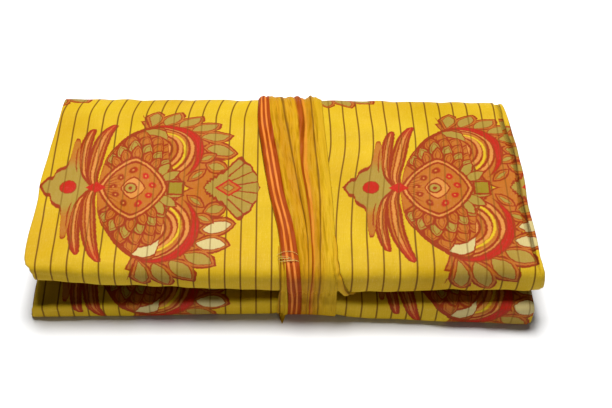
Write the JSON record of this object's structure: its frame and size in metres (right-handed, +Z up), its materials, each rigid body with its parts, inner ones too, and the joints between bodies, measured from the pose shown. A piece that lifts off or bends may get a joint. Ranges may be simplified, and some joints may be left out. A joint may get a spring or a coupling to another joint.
{
  "type": "saree",
  "caption": "Yellow cotton saree with thin stripes and large flower motifs, folded into a flat pack with its pallu end wound round the middle",
  "frame": {"origin": "centre of the underside of the bounding box, on the surface the pack rests on", "axes": "+X along the pack's length, to the right seen from the front; +Y from the open mouth at the front to the spine at the back; +Z up"},
  "size_m": [0.3854, 0.1996, 0.0605],
  "materials": {
    "printed_field": "plain-woven yellow cotton with thin brown stripes and orange, rust and grey flower motifs, slightly glossy",
    "pallu": "golden yellow cotton with a triple rust and orange border stripe, loosely pleated",
    "layer_edges": "folded edges of the yellow cotton layers"
  },
  "bodies": {
    "root": {"folded_layers": "layer_edges", "top_cover": "printed_field", "back_cover": "printed_field", "bottom_cover": "printed_field", "pallu_over_top": "pallu", "pallu_down_back": "pallu", "pallu_underneath": "pallu", "pallu_up_front": "pallu", "pallu_tucked_edge": "pallu", "pallu_loose_corner": "pallu"}
  },
  "joints": []
}
